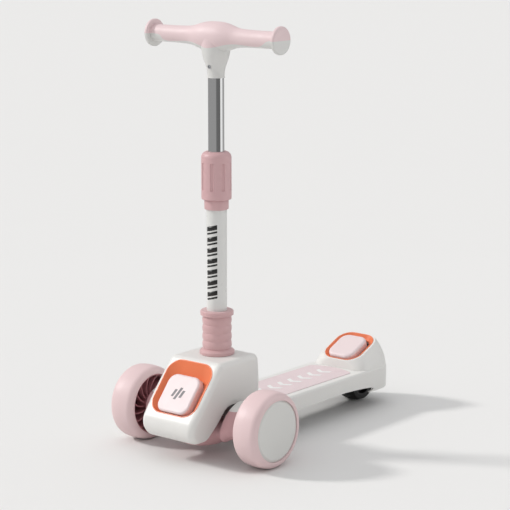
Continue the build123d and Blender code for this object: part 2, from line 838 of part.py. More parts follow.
def web_setback(row):
    """How much nearer the middle the side wall lies where the tail turns in."""
    turn_start = tail_y - deck_corner
    inner = deck_corner - deck_wall
    past = max(0, row + rib_thickness / 2 - turn_start)
    return inner - sqrt(inner**2 - past**2)


with BuildPart() as rear_fork:
    for side, start in ((1, fork_gap), (-1, -fork_gap - fork_wall)):
        with BuildSketch(Plane.YZ.offset(start)):
            with BuildLine():
                nose = hump_front + deck_wall + body_gap
                Polyline((fork_front, tread_under), (fork_front, base_top), (rear_y(10), skirt_low - 3),
                         (rear_y(-10), skirt_low - 3), (fork_back, 48), (fork_back, tread_under),
                         (rear_y(34), tread_under), (rear_y(39), cheek_top), (nose, cheek_top),
                         (nose, tread_under), (fork_front, tread_under))
            make_face()
        extrude(amount=fork_wall)
        # webs that brace each cheek to the side wall
        for row in (rear_y(48), rear_y(-8)):
            reach = deck_half - deck_wall - seat_gap - fork_gap - fork_wall - web_setback(row)
            with BuildSketch(Plane(origin=(side * (fork_gap + fork_wall + reach / 2), row, base_top))):
                Rectangle(reach, rib_thickness)
            extrude(amount=tread_under - base_top)
    # wall that ties the cheeks together ahead of the wheel
    with BuildSketch(Plane(origin=(0, fork_front + fork_wall / 2, base_top))):
        Rectangle(2 * fork_gap, fork_wall)
    extrude(amount=tread_under - base_top)
    with BuildSketch(rear(-fork_gap - fork_wall)):
        Circle(axle_radius)
    extrude(amount=2 * (fork_gap + fork_wall), mode=Mode.SUBTRACT)
    with BuildSketch(across_pin(-fork_gap - fork_wall)):
        Circle(hinge_pin_radius)
    extrude(amount=2 * (fork_gap + fork_wall), mode=Mode.SUBTRACT)
save(rear_fork, "rear_fork")

with BuildPart() as mat:
    with BuildSketch(Plane.XY.offset(deck_height + mat_proud - mat_thickness)):
        add(mat_outline(0))
    extrude(amount=mat_thickness)
    chamfer(mat.faces().sort_by(Axis.Z)[-1].edges(), 0.4)
save(mat, "grip_mat")

# Base plate screwed up under the deck
with BuildPart() as base:
    with BuildSketch(Plane.XY.offset(base_top - 3)):
        with Locations((0, (front_axle_y + deck_front + rear_y(74)) / 2)):
            RectangleRounded(deck_width - 2 * deck_wall - 2 * seat_gap,
                             rear_y(74) - front_axle_y - deck_front - 2 * deck_wall, 3)
    extrude(amount=3)
    with BuildSketch(Plane.XY.offset(base_top - 3)):
        with Locations(*base_spots):
            Circle(screw_radius)
    extrude(amount=3, mode=Mode.SUBTRACT)
save(base, "deck_base")

with BuildPart() as base_screws:
    with BuildSketch(Plane.XY.offset(base_top - 5)):
        with Locations(*base_spots):
            Circle(3.5)
    extrude(amount=2)
    with BuildSketch(Plane.XY.offset(base_top - 5)):
        with Locations(*base_spots):
            Circle(screw_radius)
    extrude(amount=14)
    with BuildSketch(Plane.XY.offset(base_top - 5)):
        with Locations(*base_spots):
            Rectangle(4, 0.9)
            Rectangle(0.9, 4)
    extrude(amount=1.2, mode=Mode.SUBTRACT)
save(base_screws, "deck_base_screws")

# Bolts that hold the steering head down on the deck
saddle_hex, saddle_nut = 5, 5
with BuildPart() as saddle_bolts:
    with BuildSketch(Plane.XY.offset(deck_height + saddle_height)):
        with Locations(*saddle_spots):
            RegularPolygon(saddle_hex, 6, major_radius=False)
    extrude(amount=4)
    with BuildSketch(Plane.XY.offset(tread_under - saddle_nut - 2)):
        with Locations(*saddle_spots):
            Circle(saddle_bolt_radius)
    extrude(amount=deck_height + saddle_height + saddle_nut + 2 - tread_under)
    with BuildSketch(Plane.XY.offset(tread_under - saddle_nut)):
        with Locations(*saddle_spots):
            RegularPolygon(saddle_hex, 6, major_radius=False)
    extrude(amount=saddle_nut)
save(saddle_bolts, "saddle_bolts")

# ---------------------------------------------------------------- rear dish and brake

brake_size = (brake_pad_width, brake_pad_length)
brake_shift, brake_room = -4.5, 4
rear_ring = dish_ring(rear_dish, (rear_dish_width, rear_dish_length), rear_dish_corner, rear_dish_depth,
                      brake_size, brake_pad_corner, brake_shift, brake_room)
save(rear_ring, "rear_ring")

lever_top = -rear_dish_depth - 2 - 1
with BuildPart() as brake_pad:
    with BuildSketch(rear_dish.offset(lever_top)):
        with Locations((0, brake_shift)):
            RectangleRounded(brake_pad_width, brake_pad_length, brake_pad_corner)
    extrude(amount=brake_pad_proud - lever_top)
    fillet(brake_pad.faces().sort_by(Axis(rear_dish.origin, rear_dish.z_dir))[-1].edges(), 5)
save(brake_pad, "brake_pad")

lever_thickness = 4
lever_half = 21
tongue_half = 16
knuckle_length = 8
with BuildPart() as lever:
    with BuildSketch(rear_dish.offset(lever_top - lever_thickness)):
        with BuildLine():
            Polyline((-tongue_half, pin_along), (-tongue_half, -26), (-lever_half, -20), (-lever_half, 16),
                     (lever_half, 16), (lever_half, -20), (tongue_half, -26), (tongue_half, pin_along), close=True)
        make_face()
    extrude(amount=lever_thickness)
    for start in (-tongue_half, tongue_half - knuckle_length):
        with BuildSketch(across_pin(start)):
            Circle(knuckle_radius)
        extrude(amount=knuckle_length)
    # gap between the knuckles for the spring, and the hole for the pin
    with BuildSketch(across_pin(knuckle_length - tongue_half)):
        Circle(knuckle_radius + 1.5)
    extrude(amount=2 * (tongue_half - knuckle_length), mode=Mode.SUBTRACT)
    with BuildSketch(across_pin(-tongue_half)):
        Circle(hinge_pin_radius + running_gap)
    extrude(amount=2 * tongue_half, mode=Mode.SUBTRACT)
save(lever, "brake_lever")

# Friction shoe, hollowed to the wheel
shoe_along = rear_dish.to_local_coords(Vector(0, rear_axle_y, rear_radius))
with BuildPart() as shoe:
    with BuildSketch(rear_dish.offset(lever_top - lever_thickness)):
        with Locations((0, shoe_along.Y)):
            RectangleRounded(22, 20, 3)
    extrude(amount=-(lever_top - lever_thickness - shoe_along.Z - rear_radius - shoe_gap) - 4)
    with BuildSketch(rear(-20)):
        Circle(rear_radius + shoe_gap)
    extrude(amount=40, mode=Mode.SUBTRACT)
save(shoe, "brake_shoe")

with BuildPart() as brake_pin:
    with BuildSketch(across_pin(-fork_gap - fork_wall)):
        Circle(hinge_pin_radius)
    extrude(amount=2 * (fork_gap + fork_wall))
save(brake_pin, "brake_hinge_pin")

# Torsion spring round the hinge pin
coil_wire = 0.9
coil_radius = hinge_pin_radius + 1.7
coil_turns = 5
with BuildPart() as brake_spring:
    with BuildLine() as coil:
        Helix(12 / coil_turns, 12, coil_radius, center=(-6, pin_origin.Y, pin_origin.Z), direction=(1, 0, 0))
    with BuildSketch(Plane(origin=coil.wires()[0] @ 0, z_dir=coil.wires()[0] % 0)):
        Circle(coil_wire)
    sweep(path=coil.wires()[0], is_frenet=True)
save(brake_spring, "brake_spring")

# ---------------------------------------------------------------- post and clamp

lower_tube = tube(Plane(origin=(0, post_y, 84)), tube_radius, tube_radius - tube_wall, tube_top - 84)
with BuildPart() as post_tube:
    add(lower_tube.part)
    with BuildSketch(Plane(origin=(-40, post_y, 122), x_dir=(0, 1, 0), z_dir=(1, 0, 0))):
        Circle(3)
    extrude(amount=80, mode=Mode.SUBTRACT)
save(post_tube, "lower_tube")

with BuildPart() as cross_bolt:
    with BuildSketch(Plane(origin=(-27, post_y, 122), x_dir=(0, 1, 0), z_dir=(1, 0, 0))):
        RegularPolygon(5, 6, major_radius=False)
    extrude(amount=5)
    with BuildSketch(Plane(origin=(-27, post_y, 122), x_dir=(0, 1, 0), z_dir=(1, 0, 0))):
        Circle(3)
    extrude(amount=55)
    with BuildSketch(Plane(origin=(22, post_y, 122), x_dir=(0, 1, 0), z_dir=(1, 0, 0))):
        RegularPolygon(5, 6, major_radius=False)
    extrude(amount=5)
save(cross_bolt, "post_cross_bolt")

# Ribbed boot at the foot of the post
boot_bottom = body_top
rib_pitch = 13
boot_waist, boot_rib, boot_top = tube_radius + 6, tube_radius + 7.2, tube_radius + 10.2
boot_foot = tube_radius + 11.6
with BuildPart() as boot:
    with BuildSketch(Plane(origin=(0, post_y, boot_bottom), x_dir=(1, 0, 0), z_dir=(0, -1, 0))):
        with BuildLine():
            Polyline((boot_waist, 9), (boot_foot - 2, 7), (boot_foot, 5), (boot_foot, 1), (boot_foot - 1, 0),
                     (tube_radius, 0), (tube_radius, 70), (boot_top - 1.6, 70), (boot_top, 68.5),
                     (boot_top, 63), (boot_waist, 9 + 4 * rib_pitch))
            for rib in range(4):
                low = 9 + rib * rib_pitch
                ThreePointArc((boot_waist, low), (boot_rib, low + rib_pitch / 2), (boot_waist, low + rib_pitch))
        make_face()
    revolve(axis=Axis((0, post_y, 0), (0, 0, 1)))
save(boot, "post_boot")

# Guide bush pressed in the top of the lower tube, and the slotted clamp sleeve above it
slide_radius = inner_radius + running_gap
guide = tube(Plane(origin=(0, post_y, tube_top - 30)), tube_radius - tube_wall, slide_radius, 30)
save(guide, "guide_bush")

sleeve_low, sleeve_high = tube_top, collar_high - 12
with BuildPart() as sleeve:
    with BuildSketch(Plane(origin=(0, post_y, sleeve_low))):
        Circle(tube_radius)
        Circle(slide_radius, mode=Mode.SUBTRACT)
    extrude(amount=sleeve_high - sleeve_low)
    chamfer(sleeve.faces().sort_by(Axis.Z)[-1].edges().sort_by(SortBy.RADIUS)[-1], 2.2)
    with BuildSketch(Plane(origin=(0, post_y, sleeve_low + 22))):
        with PolarLocations(tube_radius - 2, 6):
            Rectangle(8, 1.6)
    extrude(amount=80, mode=Mode.SUBTRACT)
    # coarse thread
    for level in range(4):
        with BuildSketch(Plane(origin=(0, post_y, sleeve_low + 8 + 3.5 * level))):
            Circle(tube_radius + 1)
            Circle(tube_radius - 0.8, mode=Mode.SUBTRACT)
        extrude(amount=1.4, mode=Mode.SUBTRACT)
save(sleeve, "clamp_sleeve")

with BuildPart() as clamp_ring:
    with BuildSketch(Plane(origin=(0, post_y, ring_low))):
        Circle(collar_ring_radius)
        Circle(tube_radius, mode=Mode.SUBTRACT)
    extrude(amount=collar_low - body_gap - ring_low)
    fillet(clamp_ring.edges().filter_by(GeomType.CIRCLE).sort_by(SortBy.RADIUS)[-2:], 1.2)
save(clamp_ring, "clamp_ring")

# Twist collar with shallow grip grooves
collar_bore = tube_radius + body_gap + 0.2
shoulder = 10
with BuildPart() as collar:
    with BuildSketch(Plane(origin=(0, post_y, 0), x_dir=(1, 0, 0), z_dir=(0, -1, 0))):
        with BuildLine():
            Polyline((collar_bore, collar_high - 10), (collar_bore, collar_low),
                     (collar_radius - 1.5, collar_low))
            ThreePointArc((collar_radius - 1.5, collar_low), (collar_radius - 0.4, collar_low + 0.6),
                          (collar_radius, collar_low + 2))
            Line((collar_radius, collar_low + 2), (collar_radius, collar_high - shoulder))
            ThreePointArc((collar_radius, collar_high - shoulder), (collar_radius - 2.2, collar_high - 3.2),
                          (collar_radius - 7.5, collar_high))
            Polyline((collar_radius - 7.5, collar_high), (slide_radius + body_gap, collar_high),
                     (slide_radius + body_gap, collar_high - 10), (collar_bore, collar_high - 10))
        make_face()
    revolve(axis=Axis((0, post_y, 0), (0, 0, 1)))
    groove_low, groove_high = collar_low + 15, collar_high - 17
    with Locations((0, post_y, 0)):
        with PolarLocations(collar_radius + 1.6, groove_count, start_angle=22.5):
            with Locations((0, 0, (groove_low + groove_high) / 2)):
                Cylinder(3.4, groove_high - groove_low, mode=Mode.SUBTRACT)
save(collar, "clamp_collar")

# ---------------------------------------------------------------- handlebar

with BuildPart() as upper_tube:
    with BuildSketch(Plane(origin=(0, post_y, inner_foot))):
        Circle(inner_radius)
        Circle(inner_radius - inner_wall, mode=Mode.SUBTRACT)
    extrude(amount=inner_head - inner_foot)
save(upper_tube, "upper_tube")

with BuildPart() as foot_plug:
    with BuildSketch(Plane(origin=(0, post_y, inner_foot - 6))):
        Circle(tube_radius - tube_wall - running_gap)
        Circle(7, mode=Mode.SUBTRACT)
    extrude(amount=6)
    with BuildSketch(Plane(origin=(0, post_y, inner_foot))):
        Circle(inner_radius - inner_wall)
        Circle(7, mode=Mode.SUBTRACT)
    extrude(amount=18)
save(foot_plug, "foot_plug")

grip_radius = 13.25
crown_radius = 23
neck_radius = 13.75
disc_radius = 21.5
disc_thickness = 6
bar_half = handlebar_width / 2
bar_plane = Plane(origin=(0, post_y, handlebar_height), x_dir=(1, 0, 0), z_dir=(0, -1, 0))
neck_drop = neck_low - handlebar_height


def bar_form(inset):
    """The handlebar's outer form, or the space inside it."""
    disc_inner = bar_half - disc_thickness
    with BuildPart() as form:
        with BuildSketch(bar_plane):
            with BuildLine():
                if inset == 0:
                    Polyline((disc_inner, grip_radius), (disc_inner, disc_radius - 1.5))
                    ThreePointArc((disc_inner, disc_radius - 1.5), (disc_inner + 0.5, disc_radius - 0.45),
                                  (disc_inner + 1.5, disc_radius))
                    Line((disc_inner + 1.5, disc_radius), (bar_half - 2.5, disc_radius))
                    ThreePointArc((bar_half - 2.5, disc_radius), (bar_half - 0.7, disc_radius - 0.8),
                                  (bar_half, disc_radius - 2.5))
                    Polyline((bar_half, disc_radius - 2.5), (bar_half, 0), (0, 0), (0, crown_radius))
                    Spline((0, crown_radius), (14, 22.4), (28, 19.6), (42, 15.6), (60, 13.7), (80, grip_radius),
                           (disc_inner, grip_radius), tangents=((1, 0), (1, 0)))
                else:
                    Polyline((0, crown_radius - inset), (26, crown_radius - inset - 3),
                             (58, grip_radius - inset), (bar_half - inset, grip_radius - inset),
                             (bar_half - inset, 0), (0, 0), close=True)
            make_face()
        revolve(axis=Axis(bar_plane.origin, (1, 0, 0)))
        mirror(about=Plane.YZ)
        with BuildSketch(bar_plane):
            with BuildLine():
                Polyline((neck_radius - inset, neck_drop), (0, neck_drop), (0, 0),
                         (crown_radius - inset, 0))
                Spline((crown_radius - inset, 0), (22.2 - inset, -20), (20.2 - inset, -31),
                       (15.8 - inset, -44), (neck_radius - inset, neck_drop))
            make_face()
        revolve(axis=Axis((0, post_y, 0), (0, 0, 1)))
    return form


# The split between the two shells: level at the ends, lower at the neck
with BuildPart() as upper_half:
    with BuildSketch(bar_plane.offset(-40)):
        with BuildLine():
            Polyline((-bar_half - 1, 0), (-bar_half - 1, 40), (bar_half + 1, 40), (bar_half + 1, 0), (118, 0))
            Spline((118, 0), (100, -7), (40, -9), (0, -16), (-40, -9), (-100, -7), (-118, 0),
                   tangents=((-1, 0), (-1, 0)))
            Line((-118, 0), (-bar_half - 1, 0))
        make_face()
    extrude(amount=80)

socket_depth = 16
socket_radius = inner_radius + 2.2
screw_level = 604
screw_head_y = post_y - 16.4
bar_whole = bar_form(0).part
with BuildPart() as bar_space:
    add(bar_form(3).part)
    with BuildSketch(Plane(origin=(0, post_y, neck_low - 1))):
        Circle(inner_radius)
    extrude(amount=inner_head - neck_low)
    with BuildSketch(Plane(origin=(0, post_y, inner_head - socket_depth))):
        Circle(socket_radius)
    extrude(amount=socket_depth + 10)
    with BuildSketch(Plane(origin=(0, screw_head_y - 5, screw_level), x_dir=(1, 0, 0), z_dir=(0, 1, 0))):
        Circle(3)
    extrude(amount=7)
    with BuildSketch(Plane(origin=(0, screw_head_y, screw_level), x_dir=(1, 0, 0), z_dir=(0, 1, 0))):
        Circle(1.8)
    extrude(amount=10)
with BuildPart() as bar_upper:
    add(bar_whole)
    add(bar_space.part, mode=Mode.SUBTRACT)
    add(upper_half.part, mode=Mode.INTERSECT)
save(bar_upper, "bar_upper_shell")

with BuildPart() as bar_lower:
    add(bar_whole)
    add(bar_space.part, mode=Mode.SUBTRACT)
    add(upper_half.part, mode=Mode.SUBTRACT)
save(bar_lower, "bar_lower_shell")

# Steel core inside the grips, welded to a socket on the upper tube
core_radius = 8
core_half = bar_half - 12


def across_bar(x):
    return Plane(origin=(x, post_y, handlebar_height), x_dir=(0, 1, 0), z_dir=(1, 0, 0))


with BuildPart() as bar_core:
    with BuildSketch(across_bar(-core_half)):
        Circle(core_radius)
    extrude(amount=2 * core_half)
    with BuildSketch(Plane(origin=(0, post_y, inner_head - socket_depth))):
        Circle(socket_radius)
    extrude(amount=handlebar_height - inner_head + socket_depth)
    with BuildSketch(Plane(origin=(0, post_y, inner_head - socket_depth))):
        Circle(inner_radius)
    extrude(amount=socket_depth, mode=Mode.SUBTRACT)
    for start in (-core_half, core_half - 90):
        with BuildSketch(across_bar(start)):
            Circle(core_radius - 1.6)
        extrude(amount=90, mode=Mode.SUBTRACT)
save(bar_core, "bar_core")

# Screw through the front of the neck into the tube
screw_plane = Plane(origin=(0, screw_head_y, screw_level), x_dir=(1, 0, 0), z_dir=(0, 1, 0))
with BuildPart() as neck_screw:
    with BuildSketch(screw_plane):
        Circle(3)
    extrude(amount=2)
    with BuildSketch(screw_plane):
        Circle(1.8)
    extrude(amount=post_y - inner_radius - screw_head_y)
    with BuildSketch(screw_plane):
        RegularPolygon(1.5, 6)
    extrude(amount=1, mode=Mode.SUBTRACT)
save(neck_screw, "neck_screw")
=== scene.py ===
import math

import bmesh
import bpy
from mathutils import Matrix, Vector


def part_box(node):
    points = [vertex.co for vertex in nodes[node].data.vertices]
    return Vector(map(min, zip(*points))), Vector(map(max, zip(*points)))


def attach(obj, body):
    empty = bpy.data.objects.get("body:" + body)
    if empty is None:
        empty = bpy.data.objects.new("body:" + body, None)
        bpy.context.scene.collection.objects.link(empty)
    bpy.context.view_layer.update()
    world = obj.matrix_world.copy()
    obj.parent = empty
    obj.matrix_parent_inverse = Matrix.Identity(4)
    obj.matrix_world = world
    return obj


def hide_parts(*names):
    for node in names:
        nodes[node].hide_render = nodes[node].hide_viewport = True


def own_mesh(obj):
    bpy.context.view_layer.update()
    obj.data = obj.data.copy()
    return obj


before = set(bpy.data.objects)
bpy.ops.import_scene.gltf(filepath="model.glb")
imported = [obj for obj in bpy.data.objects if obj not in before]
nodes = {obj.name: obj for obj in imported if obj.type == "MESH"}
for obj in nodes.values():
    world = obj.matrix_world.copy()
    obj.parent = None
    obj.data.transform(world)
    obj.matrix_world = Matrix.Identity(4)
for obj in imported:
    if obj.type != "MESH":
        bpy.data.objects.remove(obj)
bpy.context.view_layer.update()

# The studio. A pale floor runs out of view on all sides, a soft sun stands low on the rider's
# right and an even white room lights the rest, a little brighter overhead. The camera looks down
# slightly at the nose and at the rider's left side.
scene = bpy.context.scene
scene.view_settings.view_transform = "Standard"
scene.view_settings.look = "None"

lens = bpy.data.cameras.new("camera")
lens.sensor_width = 36
lens.lens = 134.58  # a long lens, about three metres off
camera = bpy.data.objects.new("camera", lens)
scene.collection.objects.link(camera)
scene.camera = camera
camera.location = (1.88842, -2.35752, 0.88544)
camera_aim = Vector((0.06227, -0.12457, 0.31511))
camera.rotation_euler = (camera_aim - camera.location).to_track_quat("-Z", "Y").to_euler()

sun_slope = math.radians(33)
sun_data = bpy.data.lights.new("low_sun", "SUN")
sun_data.energy = 1.75
sun_data.angle = math.radians(8)
sun_data.color = (1.0, 0.985, 0.965)
sun = bpy.data.objects.new("low_sun", sun_data)
scene.collection.objects.link(sun)
sun_travel = Vector((0.87 * math.cos(sun_slope), 0.49 * math.cos(sun_slope), -math.sin(sun_slope)))
sun.rotation_euler = sun_travel.to_track_quat("-Z", "Y").to_euler()

room = bpy.data.worlds.new("white_room")
scene.world = room
room.use_nodes = True
room_nodes, room_links = room.node_tree.nodes, room.node_tree.links
room_light = room_nodes["Background"]
room_light.inputs["Color"].default_value = (0.985, 0.99, 1.0, 1)
room_way = room_nodes.new("ShaderNodeTexCoord")
room_split = room_nodes.new("ShaderNodeSeparateXYZ")
room_rise = room_nodes.new("ShaderNodeMapRange")
room_rise.inputs["To Min"].default_value = 0.52
room_rise.inputs["To Max"].default_value = 0.88
room_links.new(room_way.outputs["Generated"], room_split.inputs["Vector"])
room_links.new(room_split.outputs["Z"], room_rise.inputs["Value"])

# Above the floor's edge the camera sees the room as white as the lit floor, so that no skyline
# shows in low views.
room_seen = room_nodes.new("ShaderNodeLightPath")
room_choice = room_nodes.new("ShaderNodeMix")
room_choice.data_type = "FLOAT"
room_choice.inputs["B"].default_value = 0.84
room_links.new(room_seen.outputs["Is Camera Ray"], room_choice.inputs["Factor"])
room_links.new(room_rise.outputs["Result"], room_choice.inputs["A"])
room_links.new(room_choice.outputs["Result"], room_light.inputs["Strength"])

floor_reach = 70
floor_corners = 96
floor_ring = [math.tau * i / floor_corners for i in range(floor_corners)]
floor_mesh = bpy.data.meshes.new("floor")
floor_mesh.from_pydata([(floor_reach * math.cos(a), floor_reach * math.sin(a), 0) for a in floor_ring],
                       [], [tuple(range(floor_corners))])
floor = bpy.data.objects.new("floor", floor_mesh)
scene.collection.objects.link(floor)
floor_paint = bpy.data.materials.new("floor_paint")
floor_paint.use_nodes = True
floor_shader = floor_paint.node_tree.nodes["Principled BSDF"]
floor_shader.inputs["Base Color"].default_value = (0.795, 0.79, 0.78, 1)
floor_shader.inputs["Roughness"].default_value = 0.95
floor_shader.inputs["Specular IOR Level"].default_value = 0.05
floor_mesh.materials.append(floor_paint)

# Reflector cards round the object. They are seen only in gloss, so that the polished tube and the
# bolts show the grey and white bands of a studio. They throw no light and no shadow.
card_radius = 1.6
card_low, card_high = 0.002, 2.6
card_count = 120
card_ring = [math.tau * i / card_count for i in range(card_count)]
card_mesh = bpy.data.meshes.new("reflector_cards")
card_corners = [(card_radius * math.cos(a), card_radius * math.sin(a), z)
                for z in (card_low, card_high) for a in card_ring]
card_faces = [(i, (i + 1) % card_count, card_count + (i + 1) % card_count, card_count + i)
              for i in range(card_count)]
card_mesh.from_pydata(card_corners, [], card_faces)
cards = bpy.data.objects.new("reflector_cards", card_mesh)
scene.collection.objects.link(cards)
for ray in ("camera", "diffuse", "transmission", "volume_scatter", "shadow"):
    setattr(cards, "visible_" + ray, False)
card_paint = bpy.data.materials.new("card_paint")
card_paint.use_nodes = True
card_nodes, card_links = card_paint.node_tree.nodes, card_paint.node_tree.links
card_nodes.clear()
card_place = card_nodes.new("ShaderNodeTexCoord")
card_split = card_nodes.new("ShaderNodeSeparateXYZ")
card_turn = card_nodes.new("ShaderNodeMath")
card_turn.operation = "ARCTAN2"
card_span = card_nodes.new("ShaderNodeMapRange")
card_span.inputs["From Min"].default_value = -math.pi
card_span.inputs["From Max"].default_value = math.pi
card_bands = card_nodes.new("ShaderNodeValToRGB")
card_glow = card_nodes.new("ShaderNodeEmission")
card_out = card_nodes.new("ShaderNodeOutputMaterial")
grey, dark, white, side_grey = 0.36, 0.16, 1.0, 0.42
band_stops = [(0.0, grey), (0.34, grey), (0.37, dark + 0.01), (0.513, dark - 0.01),
              (0.526, white), (0.640, white), (0.655, side_grey), (1.0, grey)]
while len(card_bands.color_ramp.elements) < len(band_stops):
    card_bands.color_ramp.elements.new(0.5)
for stop, (turn_share, shade) in zip(card_bands.color_ramp.elements, band_stops):
    stop.position = turn_share
    stop.color = (shade, shade, shade, 1)
card_glow.inputs["Strength"].default_value = 1.25
card_links.new(card_place.outputs["Object"], card_split.inputs["Vector"])
card_links.new(card_split.outputs["Y"], card_turn.inputs[0])
card_links.new(card_split.outputs["X"], card_turn.inputs[1])
card_links.new(card_turn.outputs["Value"], card_span.inputs["Value"])
card_links.new(card_span.outputs["Result"], card_bands.inputs["Fac"])
card_links.new(card_bands.outputs["Color"], card_glow.inputs["Color"])
card_links.new(card_glow.outputs["Emission"], card_out.inputs["Surface"])
card_mesh.materials.append(card_paint)

# Deck shell: one white ABS injection moulding, tread skin, skirts and tail hump together. The tool
# leaves a fine spark-eroded grain, and the flow of the melt a very faint drift in tone.


def add_noise(finish, scale, detail, stretch=(1, 1, 1)):
    """Noise laid over the object's own space, with one cell per 1/scale metres."""
    tree = finish.node_tree
    place = tree.nodes.new("ShaderNodeTexCoord")
    shaped = tree.nodes.new("ShaderNodeMapping")
    shaped.inputs["Scale"].default_value = stretch
    noise = tree.nodes.new("ShaderNodeTexNoise")
    noise.inputs["Scale"].default_value = scale
    noise.inputs["Detail"].default_value = detail
    tree.links.new(place.outputs["Object"], shaped.inputs["Vector"])
    tree.links.new(shaped.outputs["Vector"], noise.inputs["Vector"])
    return noise.outputs["Fac"]


def add_bump(finish, height, depth, under=None):
    """Raises the surface by depth metres where height is 1."""
    tree = finish.node_tree
    bump = tree.nodes.new("ShaderNodeBump")
    bump.inputs["Distance"].default_value = depth
    tree.links.new(height, bump.inputs["Height"])
    if under is not None:
        tree.links.new(under, bump.inputs["Normal"])
    tree.links.new(bump.outputs["Normal"], tree.nodes["Principled BSDF"].inputs["Normal"])


def add_math(finish, operation, first, second=None):
    """One sum on two values, each a number or another node's output."""
    tree = finish.node_tree
    step = tree.nodes.new("ShaderNodeMath")
    step.operation = operation
    for socket, value in zip(step.inputs, (first, second)):
        if isinstance(value, (int, float)):
            socket.default_value = value
        elif value is not None:
            tree.links.new(value, socket)
    return step.outputs["Value"]


def add_range(finish, value, low, high, to_low, to_high):
    """Stretches low to high onto to_low to to_high, and holds the ends."""
    tree = finish.node_tree
    span = tree.nodes.new("ShaderNodeMapRange")
    for socket, number in (("From Min", low), ("From Max", high), ("To Min", to_low), ("To Max", to_high)):
        span.inputs[socket].default_value = number
    tree.links.new(value, span.inputs["Value"])
    return span.outputs["Result"]


def add_tint(finish, share, first, second):
    """Base colour that goes from the first colour to the second as share goes from 0 to 1."""
    tree = finish.node_tree
    mix = tree.nodes.new("ShaderNodeMix")
    mix.data_type = "RGBA"
    tree.links.new(share, mix.inputs["Factor"])
    for socket, colour in (("A", first), ("B", second)):
        wanted = [s for s in mix.inputs if s.name == socket and s.type == "RGBA"][0]
        wanted.default_value = (*colour, 1)
    tinted = [s for s in mix.outputs if s.type == "RGBA"][0]
    tree.links.new(tinted, tree.nodes["Principled BSDF"].inputs["Base Color"])


def moulded(name, colour, rough, grain, depth, drift=0.03, shine=0.5, metal=0.0, stretch=(1, 1, 1)):
    """A plain finish: slow drift in tone, roughness that wanders, and a fine surface grain."""
    finish = bpy.data.materials.new(name)
    finish.use_nodes = True
    shader = finish.node_tree.nodes["Principled BSDF"]
    shader.inputs["Metallic"].default_value = metal
    shader.inputs["Specular IOR Level"].default_value = shine
    slow = add_noise(finish, 16, 3, stretch)
    darker = [c * (1 - drift) for c in colour]
    lighter = [min(1, c * (1 + drift)) for c in colour]
    add_tint(finish, slow, darker, lighter)
    patches = add_noise(finish, 90, 4, stretch)
    finish.node_tree.links.new(add_range(finish, patches, 0.3, 0.7, rough * 0.88, rough * 1.12),
                               shader.inputs["Roughness"])
    add_bump(finish, add_noise(finish, 1 / grain, 3, stretch), depth)
    return finish


def dress(finish, *names):
    """Gives CAD nodes their finish."""
    for name in names:
        for spot in nodes[name].material_slots:
            spot.material = finish


white_moulding = moulded("white_moulding", (0.775, 0.765, 0.74), rough=0.36, grain=0.0007, depth=0.000035,
                         drift=0.012)
dress(white_moulding, "deck_shell")

# Deck frame and rear fork: black glass-filled nylon ribs and cheeks under the tread. The fibres
# show as a pale speckle, and the surface is duller than the shell's.
filled_nylon = moulded("filled_nylon", (0.022, 0.022, 0.023), rough=0.55, grain=0.0009, depth=0.00006,
                       drift=0.05, shine=0.4)
fibre = add_noise(filled_nylon, 900, 2, (1, 0.25, 1))
fibre_share = add_range(filled_nylon, fibre, 0.62, 0.72, 0, 1)
add_tint(filled_nylon, fibre_share, (0.02, 0.02, 0.021), (0.06, 0.06, 0.062))
dress(filled_nylon, "deck_frame", "rear_fork")

# Grip mat: a sheet of pale pink soft rubber let into the tread. Its top is a field of small raised
# dots, 1.7 mm apart, too low to catch a bare foot.
mat_rubber = moulded("mat_rubber", (0.76, 0.635, 0.65), rough=0.62, grain=0.0012, depth=0.00005,
                     drift=0.02, shine=0.35)
mat_place = mat_rubber.node_tree.nodes.new("ShaderNodeTexCoord")
mat_split = mat_rubber.node_tree.nodes.new("ShaderNodeSeparateXYZ")
mat_rubber.node_tree.links.new(mat_place.outputs["Object"], mat_split.inputs["Vector"])
dot_wave, dot_height = 0.0024, 0.0002
mat_waves = []
for axis in ("X", "Y"):
    phase = add_math(mat_rubber, "MULTIPLY", mat_split.outputs[axis], math.tau / dot_wave)
    mat_waves.append(add_math(mat_rubber, "SINE", phase))
mat_dots = add_range(mat_rubber, add_math(mat_rubber, "MULTIPLY", *mat_waves), 0.2, 0.7, 0, 1)
add_bump(mat_rubber, mat_dots, dot_height)
dress(mat_rubber, "grip_mat")

# Arrows down the middle of the mat: a thin white print on the rubber, seven chevrons in a row that
# point the way the scooter rolls. Each is two slanted bars that meet on the centre line.


def printed(name, bars, place, thick, columns):
    """Thin printed bars. Each bar is four (u, v) corners, and place(u, v, h) sets them on the part."""
    sunk = -0.00002
    made = bmesh.new()
    for bar in bars:
        a, b, c, d = (Vector(p) for p in bar)
        rows = []
        for h in (sunk, thick):
            for i in range(columns + 1):
                s = i / columns
                for p in (a.lerp(b, s), d.lerp(c, s)):
                    rows.append(made.verts.new(place(p.x, p.y, h)))
        low, high = rows[:len(rows) // 2], rows[len(rows) // 2:]
        for i in range(columns):
            k = 2 * i
            made.faces.new((high[k], high[k + 2], high[k + 3], high[k + 1]))
            made.faces.new((low[k + 1], low[k + 3], low[k + 2], low[k]))
            made.faces.new((low[k], low[k + 2], high[k + 2], high[k]))
            made.faces.new((low[k + 3], low[k + 1], high[k + 1], high[k + 3]))
        made.faces.new((low[1], low[0], high[0], high[1]))
        made.faces.new((low[-2], low[-1], high[-1], high[-2]))
    bmesh.ops.recalc_face_normals(made, faces=made.faces[:])
    mesh = bpy.data.meshes.new(name)
    made.to_mesh(mesh)
    made.free()
    piece = bpy.data.objects.new(name, mesh)
    scene.collection.objects.link(piece)
    return piece


